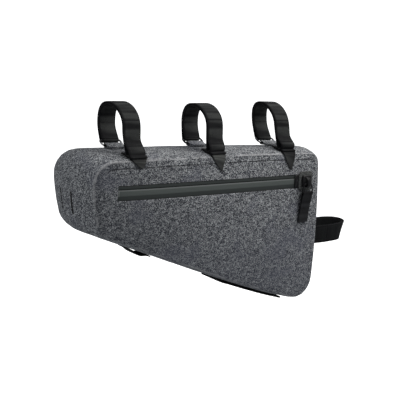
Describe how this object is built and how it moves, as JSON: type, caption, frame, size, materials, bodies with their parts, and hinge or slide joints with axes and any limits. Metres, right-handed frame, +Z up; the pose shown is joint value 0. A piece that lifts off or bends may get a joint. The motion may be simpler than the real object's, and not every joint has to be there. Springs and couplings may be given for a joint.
{
  "type": "bicycle frame bag",
  "caption": "Wedge-shaped bicycle frame bag in grey heathered cloth, with a zip along one side, loops for the top tube, a loop for the seat tube and slits for the head tube.",
  "frame": {"origin": "the top tube's centre line, in the middle of the middle loop", "axes": "+Z up, +X along the bag's top edge from the short front end to the tall seat-tube end, and the zip is on the -Y side"},
  "size_m": [0.4836, 0.1016, 0.2833],
  "materials": {
    "cloth_side": "heathered, coated",
    "cloth_top": "heathered, coated",
    "webbing": "woven",
    "zip_tape": "coated, satin",
    "rubber": "satin",
    "metal": "satin black"
  },
  "bodies": {
    "root": {"bottom_loop_front": "webbing", "bottom_strap_rear": "webbing", "far_panel": "cloth_side", "gusset": "cloth_top", "near_panel": "cloth_side", "pull_tab": "webbing", "seat_ring": "metal", "seat_ring_tab": "cloth_top", "seat_strap": "webbing", "seat_strap_base": "webbing", "top_ring_front": "metal", "top_ring_middle": "metal", "top_ring_rear": "metal", "top_ring_tab_front": "cloth_top", "top_ring_tab_middle": "cloth_top", "top_ring_tab_rear": "cloth_top", "top_strap_base_front": "webbing", "top_strap_base_middle": "webbing", "top_strap_base_rear": "webbing", "top_strap_front": "webbing", "top_strap_middle": "webbing", "top_strap_rear": "webbing", "zip_garage": "rubber", "zip_lower_tape": "zip_tape", "zip_pull": "metal", "zip_slider": "rubber", "zip_stop": "rubber", "zip_upper_tape": "zip_tape"}
  },
  "joints": []
}
